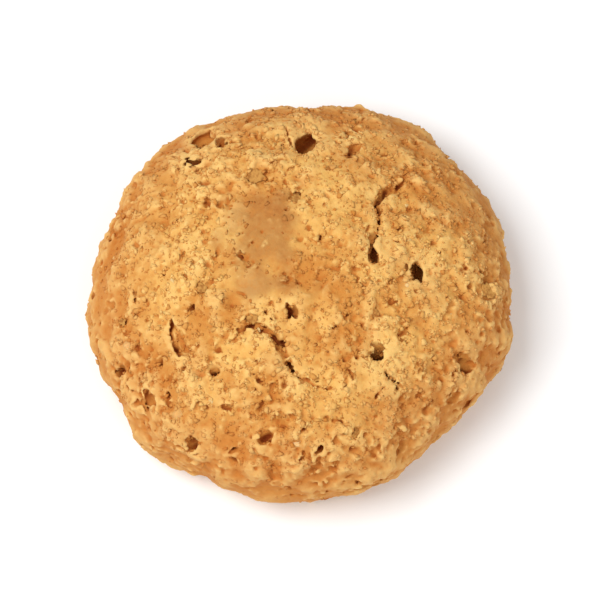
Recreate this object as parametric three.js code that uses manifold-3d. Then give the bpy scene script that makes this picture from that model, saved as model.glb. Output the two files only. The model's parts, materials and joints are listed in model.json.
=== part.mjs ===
// An amaretti cookie: a small, round, crisp almond biscuit. It has a flat underside, a rounded flank
// and a domed crust that is gritty, pitted where bubbles burst, and split by a few short cracks.
//
// Millimetres, +Z up. The origin is under the middle of the cookie, on the surface that it lies on.

import * as THREE from "three";
import { ImprovedNoise } from "three/addons/math/ImprovedNoise.js";
import { mergeVertices } from "three/addons/utils/BufferGeometryUtils.js";
import Module from "manifold-3d";

// ---- The whole cookie ----
const LENGTH = 40.6; // across the widest way, along X
const WIDTH = 38.8; // across the narrow way, along Y
const HEIGHT = 15.2; // from the underside to the top of the dome
const RIM_HEIGHT = 5.4; // how high the widest ring lies
const BASE_SHARE = 0.83; // the flat underside's radius, as a share of the outline's
const DOME_POWER = 2.15; // 2 is an ellipse, and more is flatter on top with a fuller shoulder
const FLANK_POWER = 2.1; // the same, for the flank under the rim

// Where the dough spread further or less than an even oval: direction, how far, and over what angle.
const SPREADS = [
  { at: 56, by: 1.0, over: 30 },
  { at: 127, by: 0.5, over: 12 },
  { at: 224, by: 0.75, over: 10 },
  { at: 266, by: 0.4, over: 14 },
  { at: 318, by: -0.85, over: 24 },
];

// ---- The crust's relief: noise of three sizes ----
const LUMPS = { size: 8.5, rise: 0.5 };
const BUMPS = { size: 3.6, rise: 0.42 };
const GRIT = { size: 1.8, rise: 0.45 };
const RELIEF_FROM = 1.5; // it grows from nothing at the underside to all of it at this height

// A patch of crust near the top that set smooth: the share of the relief that it lost.
const SMOOTH_PATCH = { x: -3.6, y: 3.6, reach: 4.5, lost: 0.8 };

// ---- Burst bubbles that show from a step away: place, size, depth and turn in degrees ----
const PITS = [
  { x: -9.0, y: 15.2, long: 2.8, wide: 2.4, deep: 1.1, turn: 35 },
  { x: -9.9, y: 12.0, long: 1.4, wide: 0.8, deep: 0.9, turn: -20 },
  { x: 0.4, y: 14.0, long: 2.5, wide: 2.1, deep: 1.5, turn: 80 },
  { x: 4.9, y: 13.0, long: 1.8, wide: 0.9, deep: 0.6, turn: 40 },
  { x: 11.1, y: 0.4, long: 2.5, wide: 1.3, deep: 1.4, turn: 105 },
  { x: 7.0, y: 1.7, long: 1.8, wide: 0.9, deep: 1.1, turn: 105 },
  { x: 7.3, y: -8.1, long: 1.7, wide: 1.1, deep: 1.3, turn: 0 },
  { x: 15.5, y: -7.2, long: 1.5, wide: 0.8, deep: 0.9, turn: 10 },
  { x: 17.8, y: 0.5, long: 2.2, wide: 1.5, deep: 0.7, turn: 60 },
  { x: -0.9, y: -3.9, long: 1.1, wide: 0.9, deep: 0.8, turn: 120 },
  { x: 9.8, y: -5.5, long: 1.5, wide: 0.7, deep: 0.4, turn: 35 },
  { x: -14.4, y: -11.1, long: 1.6, wide: 0.9, deep: 0.9, turn: 110 },
  { x: -10.2, y: -15.3, long: 1.4, wide: 0.9, deep: 0.8, turn: 20 },
  { x: -17.2, y: -8.0, long: 1.0, wide: 0.9, deep: 0.7, turn: 0 },
  { x: -3.4, y: -15.4, long: 1.5, wide: 1.1, deep: 0.6, turn: 30 },
  { x: 8.3, y: -9.8, long: 1.6, wide: 0.7, deep: 0.7, turn: 140 },
  { x: -8.1, y: -9.5, long: 1.1, wide: 0.6, deep: 0.7, turn: 20 },
];

// ---- Cracks: the points that each runs through, its width in the middle and its depth ----
const CRACKS = [
  {
    wide: 0.8,
    deep: 0.9,
    way: [[10.2, 11.3], [9.6, 9.3], [8.4, 8.8], [7.3, 7.7], [7.5, 5.7], [7.3, 4.0], [6.7, 3.0], [7.2, 0.9]],
  },
  {
    wide: 0.75,
    deep: 0.8,
    way: [[-6.9, -6.6], [-6.3, -5.5], [-5.0, -5.1], [-3.6, -5.6], [-2.3, -6.7], [-0.8, -9.7], [1.2, -11.0]],
  },
  { wide: 0.7, deep: 0.8, way: [[-12.3, -4.2], [-11.9, -5.8], [-11.4, -6.9], [-10.2, -8.1]] },
  { wide: 0.45, deep: 0.4, way: [[3.7, -8.5], [5.2, -8.1], [6.9, -8.2]] },
];

// ---- Small things, scattered by a seeded rule. deep and sunk are shares of the size ----
const SMALL_PITS = { count: 46, least: 0.5, most: 1.15, deep: 0.7, sunk: 0, seed: 7 };
const CRUMBS = { count: 64, least: 0.9, most: 1.8, deep: 0.22, sunk: 0.05, seed: 43 };
const ON_DOME = 0.85; // the share of them that lies on the dome; the rest lies on the flank,
const FLANK_REACH = 0.6; // down to this part of the way from the rim to the underside

// How far a lump's or a crack's width swings about its even size.
const LUMP_SWING = 0.45;
const CRACK_SWING = { size: 0.77, by: 0.9 };

// ---- Fineness ----
const BODY_DETAIL = 14; // each of the ball's 20 faces is split into (detail + 1) squared
const DOME_PART = 0.64; // the parts of the ball's area that become the dome and the flank;
const FLANK_PART = 0.2; // the rest, a smaller part, becomes the flat underside
const CRACK_SIDES = 6;
const SLIVER = 0.02; // edges that the cuts leave shorter than this are closed up

const CRUST_COLOUR = 0xd59a55;

const noise = new ImprovedNoise();
const wasm = await Module();
wasm.setup();

// ---- The smooth form ----

// The outline's radius in a direction, seen from above.
function outlineRadius(angle) {
  const ovalX = Math.cos(angle) / (LENGTH / 2);
  const ovalY = Math.sin(angle) / (WIDTH / 2);
  let radius = 1 / Math.hypot(ovalX, ovalY);
  for (const { at, by, over } of SPREADS) {
    const away = THREE.MathUtils.euclideanModulo(THREE.MathUtils.radToDeg(angle) - at + 180, 360) - 180;
    radius += by * Math.exp(-((away / over) ** 2));
  }
  return radius;
}

// A point of the crust. down is 0 at the top, 1 at the rim and 2 at the underside's edge.
function crustPoint(angle, down) {
  const radius = outlineRadius(angle);
  const turn = (Math.PI / 2) * (down % 1);
  let share = 1;
  let height = RIM_HEIGHT;
  if (down < 1) {
    share = Math.sin(turn) ** (2 / DOME_POWER);
    height += (HEIGHT - RIM_HEIGHT) * Math.cos(turn) ** (2 / DOME_POWER);
  } else if (down < 2) {
    share = BASE_SHARE + (1 - BASE_SHARE) * Math.cos(turn) ** (2 / FLANK_POWER);
    height *= 1 - Math.sin(turn) ** (2 / FLANK_POWER);
  } else {
    share = BASE_SHARE;
    height = 0;
  }
  return new THREE.Vector3(radius * share * Math.cos(angle), radius * share * Math.sin(angle), height);
}

// The way out of the crust at a point, from two short steps along it.
function crustNormal(angle, down) {
  const step = 0.01;
  const here = crustPoint(angle, down);
  const along = crustPoint(angle + step, down).sub(here);
  const below = crustPoint(angle, Math.min(down + step, 1.99)).sub(here);
  return below.cross(along).normalize();
}

// How far the rough crust stands out from the smooth form at a point.
function relief(point) {
  let rise = 0;
  for (const { size, rise: most } of [LUMPS, BUMPS, GRIT]) {
    rise += most * noise.noise(point.x / size, point.y / size, point.z / size + size);
  }
  const away = Math.hypot(point.x - SMOOTH_PATCH.x, point.y - SMOOTH_PATCH.y) / SMOOTH_PATCH.reach;
  const smooth = SMOOTH_PATCH.lost * Math.exp(-(away ** 4));
  const fade = THREE.MathUtils.smoothstep(point.z, 0, RELIEF_FROM);
  return rise * fade * (1 - smooth);
}

// ---- Solids ----

// A geometry as a solid that can be joined and cut.
function solidOf(geometry) {
  const bare = geometry.clone();
  bare.deleteAttribute("normal");
  bare.deleteAttribute("uv");
  const merged = mergeVertices(bare, 1e-4);
  const mesh = new wasm.Mesh({
    numProp: 3,
    vertProperties: new Float32Array(merged.attributes.position.array),
    triVerts: new Uint32Array(merged.index.array),
  });
  return new wasm.Manifold(mesh);
}

// A solid as a geometry that three.js can draw.
function geometryOf(solid) {
  const { vertProperties, triVerts } = solid.getMesh();
  const geometry = new THREE.BufferGeometry();
  geometry.setAttribute("position", new THREE.BufferAttribute(vertProperties, 3));
  geometry.setIndex(new THREE.BufferAttribute(triVerts, 1));
  geometry.computeVertexNormals();
  return geometry;
}

// Where a point of a ball of radius 1 goes on the smooth cookie. A ball's area is even along its
// height, so parts of its height are handed to the dome, the flank and the underside.
function fromBall(point) {
  const angle = Math.atan2(point.y, point.x);
  const part = (1 - point.z) / 2;
  if (part < DOME_PART) {
    return crustPoint(angle, Math.acos(1 - part / DOME_PART) / (Math.PI / 2));
  }
  if (part < DOME_PART + FLANK_PART) {
    return crustPoint(angle, 1 + (part - DOME_PART) / FLANK_PART);
  }
  const inward = Math.sqrt(Math.max(0, 1 - part) / (1 - DOME_PART - FLANK_PART));
  return crustPoint(angle, 2).multiplyScalar(inward);
}

// The body: an even ball of triangles, moved onto the cookie's form and then roughened.
function makeBody() {
  const ball = new THREE.IcosahedronGeometry(1, BODY_DETAIL);
  ball.deleteAttribute("normal");
  ball.deleteAttribute("uv");
  const geometry = mergeVertices(ball, 1e-4);
  const position = geometry.attributes.position;
  const point = new THREE.Vector3();
  for (let i = 0; i < position.count; i++) {
    point.copy(fromBall(point.fromBufferAttribute(position, i)));
    position.setXYZ(i, point.x, point.y, point.z);
  }
  geometry.computeVertexNormals();
  const outward = new THREE.Vector3();
  for (let i = 0; i < position.count; i++) {
    point.fromBufferAttribute(position, i);
    outward.fromBufferAttribute(geometry.attributes.normal, i);
    point.addScaledVector(outward, relief(point));
    position.setXYZ(i, point.x, point.y, point.z);
  }
  return solidOf(geometry);
}

// An uneven lump on the crust, sized along the crust and into it. sunk lowers its middle into the crust.
function lumpOn(angle, down, { long, wide, deep, sunk = 0, turn, detail }) {
  const geometry = new THREE.IcosahedronGeometry(1, detail);
  const position = geometry.attributes.position;
  const point = new THREE.Vector3();
  const place = crustPoint(angle, down);
  for (let i = 0; i < position.count; i++) {
    point.fromBufferAttribute(position, i);
    const swing = noise.noise(point.x + place.x, point.y + place.y, point.z + place.z);
    point.multiplyScalar(1 + LUMP_SWING * swing);
    position.setXYZ(i, point.x, point.y, point.z);
  }
  geometry.scale(long / 2, wide / 2, deep);
  geometry.rotateZ(THREE.MathUtils.degToRad(turn));
  const outward = crustNormal(angle, down);
  const upright = new THREE.Quaternion().setFromUnitVectors(new THREE.Vector3(0, 0, 1), outward);
  geometry.applyQuaternion(upright);
  place.addScaledVector(outward, relief(place) - sunk);
  geometry.translate(place.x, place.y, place.z);
  return solidOf(geometry);
}

// The direction and the way down of the point of the dome that is seen at x, y from above.
function seenFromAbove(x, y) {
  const angle = Math.atan2(y, x);
  const share = Math.min(Math.hypot(x, y) / outlineRadius(angle), 0.999);
  return { angle, down: Math.asin(share ** (DOME_POWER / 2)) / (Math.PI / 2) };
}

// A crack: a ball drawn out along the crack's line, so that it narrows towards both ends.
function crackSolid({ way, wide, deep }) {
  const line = new THREE.CatmullRomCurve3(way.map(([x, y]) => new THREE.Vector3(x, y, 0)));
  const geometry = new THREE.SphereGeometry(1, CRACK_SIDES, 2 * way.length + 1);
  const position = geometry.attributes.position;
  const point = new THREE.Vector3();
  for (let i = 0; i < position.count; i++) {
    point.fromBufferAttribute(position, i);
    const along = THREE.MathUtils.clamp((1 - point.y) / 2, 0, 1);
    const { x, y } = line.getPointAt(along);
    const { angle, down } = seenFromAbove(x, y);
    const outward = crustNormal(angle, down);
    const across = outward.clone().cross(line.getTangentAt(along)).normalize();
    const swing = noise.noise(x / CRACK_SWING.size, y / CRACK_SWING.size, wide);
    const place = crustPoint(angle, down);
    place.addScaledVector(outward, relief(place) + deep * point.z);
    place.addScaledVector(across, (wide / 2) * (1 + CRACK_SWING.by * swing) * point.x);
    position.setXYZ(i, place.x, place.y, place.z);
  }
  return solidOf(geometry);
}

// Seeded lumps spread evenly over the dome and the flank, with more small ones than large.
function scattered({ count, least, most, deep, sunk, seed }) {
  THREE.MathUtils.seededRandom(seed);
  const random = () => THREE.MathUtils.seededRandom();
  const golden = Math.PI * (3 - Math.sqrt(5));
  const lumps = [];
  for (let i = 0; i < count; i++) {
    const angle = i * golden + random();
    const part = (i + random()) / count;
    const onDome = Math.acos(Math.max(0, 1 - part / ON_DOME)) / (Math.PI / 2);
    const onFlank = 1 + (FLANK_REACH * (part - ON_DOME)) / (1 - ON_DOME);
    const size = least + (most - least) * random() ** 2;
    const wide = THREE.MathUtils.lerp(size / 2, size, random());
    const sizes = { long: size, wide, deep: deep * size, sunk: sunk * size };
    const down = part < ON_DOME ? onDome : onFlank;
    lumps.push(lumpOn(angle, down, { ...sizes, turn: 180 * random(), detail: 0 }));
  }
  return lumps;
}

// ---- The cookie ----
const pits = PITS.map(({ x, y, ...sizes }) => {
  const { angle, down } = seenFromAbove(x, y);
  return lumpOn(angle, down, { ...sizes, detail: 1 });
});
const cracks = CRACKS.map(crackSolid);

const rough = wasm.Manifold.union([makeBody(), ...scattered(CRUMBS)]);
const hollows = wasm.Manifold.union([...pits, ...scattered(SMALL_PITS), ...cracks]);
const cut = rough.subtract(hollows);

// A bubble that stayed sealed inside is filled and a loose scrap is dropped: the largest shell is kept.
const shells = cut.simplify(SLIVER).decompose();
const [cookie] = shells.sort((a, b) => b.volume() - a.volume());

// The relief adds a little all round, so the whole is brought back to its named sizes.
const geometry = geometryOf(cookie);
geometry.computeBoundingBox();
const middle = geometry.boundingBox.getCenter(new THREE.Vector3());
const sizes = geometry.boundingBox.getSize(new THREE.Vector3());
geometry.translate(-middle.x, -middle.y, -geometry.boundingBox.min.z);
geometry.scale(LENGTH / sizes.x, WIDTH / sizes.y, HEIGHT / sizes.z);

const material = new THREE.MeshStandardMaterial({ color: CRUST_COLOUR, roughness: 0.92, metalness: 0 });
const mesh = new THREE.Mesh(geometry, material);
mesh.name = "cookie";

const amaretti = new THREE.Group();
amaretti.add(mesh);

export default amaretti;
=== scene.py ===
# %% [markdown]
# # A crisp almond biscuit, lying on a pale table
#
# The biscuit is a ball of ground almonds, sugar and egg white that spread a little and set hard in the
# oven. What makes it look real is its crust: a thin golden skin, torn open all over into small uneven
# holes, with crumbs and bits of almond baked into it, a few burst bubbles with dark insides, a few
# cracks, and a flat underside where it lay on the tray.
#
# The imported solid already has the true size, the outline, the dome, the larger bubbles and the cracks.
# This script keeps all of that and remakes the surface at a much finer scale.

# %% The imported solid
import itertools
import json
import math
import time

import bmesh
import bpy
import numpy as np
import openvdb as vdb
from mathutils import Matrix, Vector

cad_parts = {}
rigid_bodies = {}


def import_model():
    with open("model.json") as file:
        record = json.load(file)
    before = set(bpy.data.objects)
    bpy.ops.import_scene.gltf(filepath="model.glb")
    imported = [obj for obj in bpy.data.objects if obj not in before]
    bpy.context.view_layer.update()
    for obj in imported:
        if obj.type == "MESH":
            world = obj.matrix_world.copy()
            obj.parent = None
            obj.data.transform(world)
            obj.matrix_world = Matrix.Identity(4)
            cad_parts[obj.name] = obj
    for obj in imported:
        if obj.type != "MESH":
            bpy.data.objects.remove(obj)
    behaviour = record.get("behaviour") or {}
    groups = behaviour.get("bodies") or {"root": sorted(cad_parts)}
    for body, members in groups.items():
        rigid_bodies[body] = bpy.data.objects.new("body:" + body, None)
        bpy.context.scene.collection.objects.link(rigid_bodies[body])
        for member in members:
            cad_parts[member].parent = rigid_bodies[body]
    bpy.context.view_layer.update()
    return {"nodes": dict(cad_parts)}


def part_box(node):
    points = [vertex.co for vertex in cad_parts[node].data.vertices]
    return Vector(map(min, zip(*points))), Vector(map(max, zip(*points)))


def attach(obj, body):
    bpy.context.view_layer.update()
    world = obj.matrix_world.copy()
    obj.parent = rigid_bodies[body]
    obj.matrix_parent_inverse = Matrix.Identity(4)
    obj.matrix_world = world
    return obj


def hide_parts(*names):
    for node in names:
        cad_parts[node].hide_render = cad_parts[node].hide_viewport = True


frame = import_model()
MM = 0.001  # metres in a millimetre

began = time.perf_counter()


def tell(words):
    """Prints the words, after the seconds since the start."""
    print(f"{time.perf_counter() - began:6.1f} s  {words}")


low, high = (np.array(corner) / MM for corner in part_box("cookie"))
tell(f"the solid is {' x '.join(f'{side:.1f}' for side in high - low)} mm")

# %% [markdown]
# ## A block of distances
#
# A crust with caves and overhangs is hard to push out of a flat sheet of faces. So the work is done on
# a block of samples, as in a sculptor's voxel tool: every sample holds its distance to the surface,
# below zero inside the biscuit. Adding to it carves, taking away builds up, and holes may run on under
# the surface. At the end the zero level of the block becomes faces. Lengths here are millimetres.

# %% The solid as a block of distances
VOXEL = 0.13  # between two samples
MARGIN = 1.2  # of air kept round the solid
BAND = 2.0  # how far from the surface the distances are known

LOWEST = np.floor((low - MARGIN) / VOXEL).astype(int)
SHAPE = np.ceil((high + MARGIN) / VOXEL).astype(int) - LOWEST


def packed_surface(node):
    """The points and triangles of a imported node, in millimetres."""
    mesh = frame["nodes"][node].data
    mesh.calc_loop_triangles()
    points = np.empty(len(mesh.vertices) * 3, np.float32)
    mesh.vertices.foreach_get("co", points)
    corners = np.empty(len(mesh.loop_triangles) * 3, np.int32)
    mesh.loop_triangles.foreach_get("vertices", corners)
    return points.reshape(-1, 3) / MM, corners.reshape(-1, 3).astype(np.uint32)


spacing = vdb.createLinearTransform(voxelSize=VOXEL)
points, triangles = packed_surface("cookie")
solid = vdb.FloatGrid.createLevelSetFromPolygons(
    points, triangles=triangles, transform=spacing, halfWidth=BAND / VOXEL
)
packed = np.empty(SHAPE, np.float32)
solid.copyToArray(packed, ijk=tuple(int(i) for i in LOWEST))
height = (np.arange(SHAPE[2]) + LOWEST[2]) * VOXEL
tell(f"a block of {' x '.join(map(str, SHAPE))}, {packed.size / 1e6:.1f} million samples")

# %% Blurring the block
EXTRA_BELOW = 0.3  # of dough under the base, which the tray will cut flat
EXTRA_UP_TO = 1.4  # the height at which this extra dough has faded out


def softened(block, radius):
    """The block after box blurs along each way, twice over: close to a round, soft blur."""
    reach = max(1, round(radius / VOXEL))
    for axis in (0, 1, 2, 0, 1, 2):
        sums = np.insert(np.cumsum(block, axis), 0, 0, axis)
        spots = np.arange(block.shape[axis])
        after = np.minimum(spots + reach + 1, len(spots))
        before = np.maximum(spots - reach, 0)
        counts = (after - before).astype(np.float32)
        block = np.take(sums, after, axis) - np.take(sums, before, axis)
        block /= counts.reshape([-1 if way == axis else 1 for way in range(3)])
    return block


form = softened(packed, VOXEL)
form -= EXTRA_BELOW * np.clip(1 - height / EXTRA_UP_TO, 0, 1)
tell(f"the smooth form fills {(form < 0).mean():.0%} of the block")

# %% Reading the block


def read(block, places):
    """The block's value at places in millimetres, between samples too."""
    at = np.clip(np.atleast_2d(places) / VOXEL - LOWEST, 0, SHAPE - 1.001)
    whole = at.astype(int)
    rest = at - whole
    found = np.zeros(len(at), np.float32)
    for corner in itertools.product((0, 1), repeat=3):
        share = np.prod(np.where(corner, rest, 1 - rest), axis=1)
        i, j, k = (whole + corner).T
        found += share * block[i, j, k]
    return found


def outward(block, place):
    """The way straight out of the surface at a place."""
    steps = VOXEL * np.eye(3)
    slope = read(block, place + steps) - read(block, place - steps)
    return slope / np.linalg.norm(slope)


def onto_surface(block, place):
    """The nearest place on the surface, found in a few steps along the distances."""
    for _ in range(3):
        place = place - read(block, place)[0] * outward(block, place)
    return place


def on_top(block, x, y):
    """The place on the surface that is seen from above at x, y."""
    i, j = np.round(np.array((x, y)) / VOXEL).astype(int) - LOWEST[:2]
    topmost = np.flatnonzero(block[i, j] < 0)[-1]
    return onto_surface(block, np.array((x, y, (topmost + LOWEST[2]) * VOXEL)))


tell(f"the top of the dome is at {on_top(form, 0, 0)[2]:.2f} mm")

# %% [markdown]
# ## The torn skin
#
# As it dried the skin shrank and tore, so seen close it is a net of pale plates round small uneven
# holes. A Displace modifier could only dent it. Soft noise cut off at a level gives a net: where it is
# below the level the skin is whole, and where it is above it is gone. The noise fills the block, so
# the holes are small caves. Between them the dough is grainy: the size of a swell without its sign
# makes round grains with narrow creases, and a few cells of a cell pattern stand out as coarse ones.

# %% Soft noise


def smooth_step(value, start, end):
    """From 0 at start to 1 at end, with a soft curve at both."""
    share = np.clip((value - start) / (end - start), 0, 1)
    return share * share * (3 - 2 * share)


def any_axes(random):
    """Three axes at right angles, turned at random."""
    return np.linalg.qr(random.normal(size=(3, 3)))[0]


def swells(places, size, seed):
    """Soft noise with knots size apart on a turned grid, and a spread of 1 about 0."""
    random = np.random.default_rng(seed)
    turned = (places @ (any_axes(random) / size)).astype(np.float32)
    whole = np.floor(turned).astype(np.int32)
    share = turned - whole
    share = share * share * (3 - 2 * share)
    whole -= whole.min(0)
    knots = random.uniform(-1, 1, whole.max(0) + 2).astype(np.float32)
    found = np.zeros(len(places), np.float32)
    for corner in itertools.product((0, 1), repeat=3):
        part = np.ones(len(places), np.float32)
        for axis, step in enumerate(corner):
            part *= share[:, axis] if step else 1 - share[:, axis]
        i, j, k = (whole + np.array(corner, np.int32)).T
        found += part * knots[i, j, k]
    return (found - found.mean()) / found.std()


ruler = np.linspace((0, 0, 0), (2, 0, 0), 5)
tell(f"swells with knots 1 mm apart, every half millimetre: {swells(ruler, 1.0, 0).round(1)}")

# %% A pattern of cells


def cells(places, size, seed):
    """For each place, how far the nearest cell's middle is, and that cell's own number from 0 to 1."""
    scaled = places / size - 0.5
    whole = np.floor(scaled).astype(np.int32)
    inside = (scaled - whole + 0.5).astype(np.float32)
    whole -= whole.min(0)
    random = np.random.default_rng(seed)
    middles = random.random((*(whole.max(0) + 2), 3), dtype=np.float32)
    numbers = random.random(whole.max(0) + 2, dtype=np.float32)
    nearest = np.full(len(places), 9, np.float32)
    number = np.zeros_like(nearest)
    for step in itertools.product((0, 1), repeat=3):
        i, j, k = (whole + np.array(step, np.int32)).T
        away = ((middles[i, j, k] + np.array(step, np.float32) - inside) ** 2).sum(1)
        number = np.where(away < nearest, numbers[i, j, k], number)
        nearest = np.minimum(nearest, away)
    return np.sqrt(nearest), number


tell(f"how far the middles of 1 mm cells are from the same places: {cells(ruler, 1.0, 0)[0].round(1)}")

# %% Where the crust is rough
INNERMOST, OUTERMOST = -0.7, 0.45  # how far from the surface the block is worked on
SMOOTH_PATCH = (-3.3, 2.7)  # the middle of a part of the crust that set smooth
SMOOTH_REACH = 5.2
PATCH_ABOVE = 9  # it lies on the dome, above this height
FLANK_END, DOME_START = 4, 10  # the crust gets rougher between these heights

shell = np.argwhere((form > INNERMOST) & (form < OUTERMOST))
places = (shell + LOWEST) * VOXEL
i, j, k = shell.T
tell(f"{len(shell) / 1e6:.2f} million samples near the surface")

away = np.hypot(*(places[:, :2] - SMOOTH_PATCH).T) + 0.9 * swells(places, 3.0, 20)
away += 0.35 * swells(places, 1.1, 22)
patch = 1 - smooth_step(away, 0.5 * SMOOTH_REACH, 1.15 * SMOOTH_REACH)
patch = patch * (places[:, 2] > PATCH_ABOVE)
busy = smooth_step(swells(places, 7, 1) + 0.5 * swells(places, 2.5, 21), -1.5, 1.3)
on_dome = smooth_step(places[:, 2], FLANK_END, DOME_START)
rough = (1 - 0.8 * patch) * (0.5 + 0.5 * busy) * (0.5 + 0.5 * on_dome)
tell(f"roughness from {rough.min():.2f} to {rough.max():.2f}, {rough.mean():.2f} on average")

# %% Tears, swells and grains
TEAR_DEPTH = 0.25
GRAIN_HEIGHT = 0.1
COARSE_HEIGHT = 0.14

swell = 0.08 * swells(places, 4.2, 2) + 0.09 * (1 - 0.3 * patch) * swells(places, 1.9, 3)
net = 0.6 * swells(places, 0.75, 4) + 0.5 * swells(places, 0.42, 5) + 0.45 * swells(places, 1.6, 6)
level = 1.8 - 1.1 * rough  # the rougher the crust, the more of it is torn
torn = smooth_step(net, level, level + 0.75)
grains = np.abs(swells(places, 0.95, 7)) + 0.8 * np.abs(swells(places, 0.5, 8)) - 1.45
warped = places + 0.13 * np.stack([swells(places, 0.9, seed) for seed in (9, 10, 11)], 1)
nearest, number = cells(warped, 0.9, 12)
coarse = smooth_step(0.6 - nearest, 0, 0.5) * smooth_step(number, 0.6, 1)

crust = form.copy()
crust[i, j, k] += TEAR_DEPTH * torn - swell - rough * (GRAIN_HEIGHT * grains + COARSE_HEIGHT * coarse)
del warped, net, nearest, number
tell(f"{np.mean(torn[np.abs(form[i, j, k]) < VOXEL] > 0.5):.0%} of the skin is torn")

# %% [markdown]
# ## Burst bubbles and cracks
#
# Steam blew bubbles near the crust, and those that burst left holes with thin, uneven rims. Boolean
# modifiers could cut them, but hundreds of them are slow and fail on thin walls. So a hole is made by
# stamping an uneven egg into the block, and a deep one gets a second, wider stamp below its mouth. The
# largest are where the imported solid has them, and stamping them again gives them crisp edges. A crack
# is a narrow stamp repeated along a line, and the line is made jagged by moving the middle of each of
# its stretches aside, over and over.

# %% The stamp
WAVES = 4  # that make an egg uneven
WAVE_TIGHTNESS = 2.2


def stamp(block, middle, radii, axes, random, uneven=0.16):
    """Takes an uneven egg-shaped hollow out of the block. The columns of axes are the egg's axes."""
    reach = int(max(radii) * (1 + uneven) / VOXEL) + 2
    centre = np.round(middle / VOXEL).astype(int) - LOWEST
    start = np.maximum(centre - reach, 0)
    end = np.minimum(centre + reach + 1, SHAPE)
    window = tuple(slice(a, b) for a, b in zip(start, end))
    spots = np.stack(np.meshgrid(*[np.arange(a, b) for a, b in zip(start, end)], indexing="ij"), -1)
    local = ((spots + LOWEST) * VOXEL - middle) @ axes / radii
    waves = np.sin(local @ (WAVE_TIGHTNESS * random.normal(size=(3, WAVES))) + random.uniform(0, 6, WAVES))
    hollow = (1 + uneven * waves.sum(-1) - np.linalg.norm(local, axis=-1)) * min(radii)
    block[window] = np.maximum(block[window], hollow)


def upright_axes(normal, degrees=0.0):
    """Three axes: two along the surface, the first turned from +X by so many degrees, and the normal."""
    turned = np.array((math.cos(math.radians(degrees)), math.sin(math.radians(degrees)), 0))
    second = np.cross(normal, turned)
    second /= np.linalg.norm(second)
    return np.stack((np.cross(second, normal), second, normal), axis=1)


tell(f"the way out of the crust at the top is {outward(form, on_top(form, 0, 0)).round(2)}")

# %% Where the larger bubbles are
BURST = (  # x, y, length, width, depth, and turn in degrees
    (-8.9, 14.4, 3.0, 2.4, 1.0, 35),
    (-7.5, 13.9, 1.2, 1.4, 1.5, 0),
    (-9.8, 11.7, 1.9, 0.9, 1.1, -20),
    (0.5, 13.4, 2.5, 2.5, 1.2, 80),
    (5.2, 12.9, 1.9, 0.9, 0.45, 40),
    (10.0, 14.1, 0.9, 0.6, 0.3, 0),
    (11.0, 0.1, 2.7, 1.2, 1.6, 105),
    (7.0, 1.5, 1.6, 0.8, 1.1, 105),
    (7.3, -8.1, 1.9, 1.1, 1.9, 0),
    (-0.8, -9.4, 1.4, 0.6, 0.8, -55),
    (-4.5, -5.2, 1.0, 0.6, 0.6, 20),
    (15.3, -7.3, 1.6, 0.8, 1.4, 10),
    (17.2, 0.9, 0.5, 1.2, 0.6, 30),
    (-0.8, -4.0, 1.4, 0.9, 1.0, 120),
    (9.7, -5.6, 1.4, 0.5, 0.4, 35),
    (-14.1, -11.1, 1.6, 1.0, 1.1, 110),
    (-9.9, -15.2, 1.6, 1.0, 1.0, 20),
    (-16.8, -8.1, 1.1, 0.9, 0.9, 0),
    (-3.2, -15.3, 1.4, 1.0, 0.6, 30),
    (8.2, -9.8, 1.6, 0.5, 0.7, 140),
    (-7.8, -9.5, 1.0, 0.5, 0.7, 20),
    (-3.7, -10.5, 1.1, 0.5, 0.6, -30),
    (1.8, -16.4, 1.2, 0.6, 0.7, 60),
    (-6.2, -16.1, 1.0, 0.5, 0.6, 40),
)
tell(f"{len(BURST)} large bubbles, the longest {max(burst[2] for burst in BURST)} mm")

# %% Stamping the larger bubbles
NARROW = 1.2  # a bubble more than this many times as deep as it is wide widens below its mouth
WIDER = 1.35
LOWER = 0.6  # how far down the middle of the wider part is, as a share of the depth
LOWER_DEPTH = 0.7  # how deep the wider part is, as a share of the depth

random = np.random.default_rng(3)
for x, y, length, width, depth, turn in BURST:
    place = on_top(form, x, y)
    axes = upright_axes(outward(form, place), turn)
    stamp(crust, place, np.array((length / 2, width / 2, depth)), axes, random)
    if depth > NARROW * width:
        below = place - LOWER * depth * axes[:, 2]
        radii = np.array((WIDER * length / 2, WIDER * width / 2, LOWER_DEPTH * depth))
        stamp(crust, below, radii, axes, random)
tell(f"{sum(burst[4] > NARROW * burst[3] for burst in BURST)} of them are deep and widen below")

# %% Jagged lines
SWAY = 0.1  # how far the middle of a stretch moves aside, as a share of the stretch
SHORTEST = 0.4  # stretches are bent until they are this short


def jagged(points, random):
    """The line through the points, with each stretch bent at random and a point for each voxel."""
    points = np.array(points, float)
    while np.linalg.norm(np.diff(points, axis=0), axis=1).max() > SHORTEST:
        stretch = np.diff(points, axis=0)
        reach = np.linalg.norm(stretch, axis=1)[:, None]
        middles = (points[1:] + points[:-1]) / 2 + SWAY * reach * random.normal(size=stretch.shape)
        both = np.empty((len(points) + len(middles), points.shape[1]))
        both[0::2] = points
        both[1::2] = middles
        points = both
    so_far = np.concatenate(([0], np.cumsum(np.linalg.norm(np.diff(points, axis=0), axis=1))))
    even = np.linspace(0, so_far[-1], max(3, int(so_far[-1] / VOXEL)))
    return np.stack([np.interp(even, so_far, column) for column in points.T], 1)


bent = jagged(((0, 0), (5, 0)), np.random.default_rng(0))
tell(f"a straight line of 5 mm is bent {np.abs(bent[:, 1]).max():.2f} mm aside")

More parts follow.
